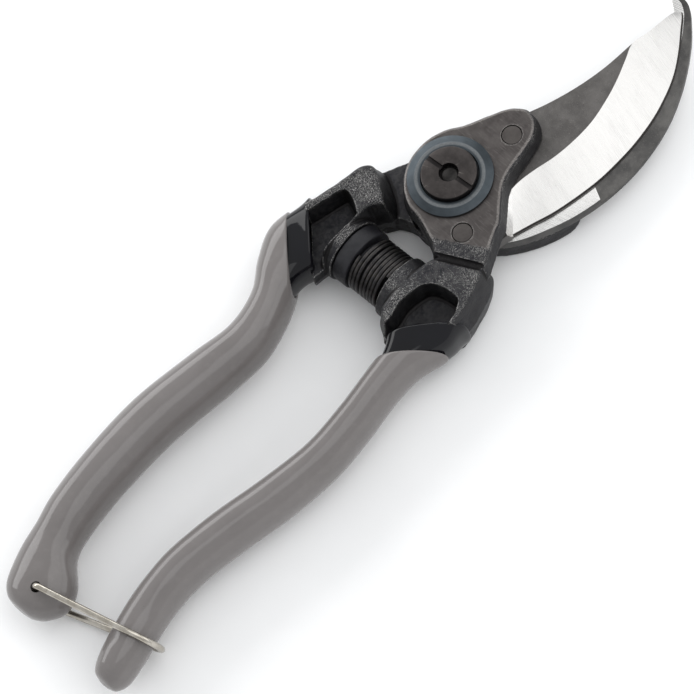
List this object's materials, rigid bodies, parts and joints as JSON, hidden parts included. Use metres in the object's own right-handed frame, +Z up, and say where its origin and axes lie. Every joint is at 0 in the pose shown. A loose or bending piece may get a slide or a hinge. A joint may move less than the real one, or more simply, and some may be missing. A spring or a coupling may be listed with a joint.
{
  "type": "bypass pruning shears",
  "caption": "Forged hand shears with a curved bypass blade over a fixed hook, a coil return spring, coated grips and a swinging wire latch.",
  "frame": {"origin": "on the pivot's axis, at the flat underside of the pivot bolt's head", "axes": "+X towards the blade tips, along the line midway between the two handles; +Y towards handle A, which carries the hook and the latch; +Z up along the pivot, towards the slotted nut"},
  "size_m": [0.2049, 0.0557, 0.0195],
  "materials": {
    "forged_steel": "dark forged, ground top faces, worn edges",
    "oxide_steel": "black oxide, satin",
    "ground_steel": "dark flat with a wide ground bevel",
    "blued_steel": "tempered blue-grey, satin",
    "spring_steel": "satin black-brown",
    "nickel_wire": "nickel plated, slightly dull",
    "black_nylon": "matt black",
    "black_vinyl": "glossy black dipped undercoat",
    "grey_vinyl": "glossy grey dipped vinyl"
  },
  "bodies": {
    "handle_a": {"handle_a_forging": "forged_steel", "hook_blade": "oxide_steel", "hook_rivet_1": "oxide_steel", "hook_rivet_2": "oxide_steel", "handle_a_undercoat": "black_vinyl", "handle_a_grip": "grey_vinyl", "spring_collar": "black_nylon", "spring_sleeve": "black_nylon", "pivot_bolt": "oxide_steel", "pivot_bush": "oxide_steel", "pivot_washer": "blued_steel", "pivot_nut": "oxide_steel", "return_spring": "spring_steel"},
    "handle_b": {"handle_b_forging": "forged_steel", "cutting_blade": "ground_steel", "blade_rivet_1": "oxide_steel", "blade_rivet_2": "oxide_steel", "handle_b_undercoat": "black_vinyl", "handle_b_grip": "grey_vinyl"},
    "latch": {"latch_wire": "nickel_wire"}
  },
  "joints": [
    {"name": "handle_pivot", "type": "hinge", "parent": "handle_a", "child": "handle_b", "pos_m": [0, 0, 0], "axis": [0, 0, 1], "range_deg": [0, 28], "deforming": ["return_spring", "latch_wire"]},
    {"name": "latch_pivot", "type": "hinge", "parent": "handle_a", "child": "latch", "pos_m": [-0.1304, 0.0079, 0.00815], "axis": [0, 0, -1], "range_deg": [0, 150]}
  ]
}
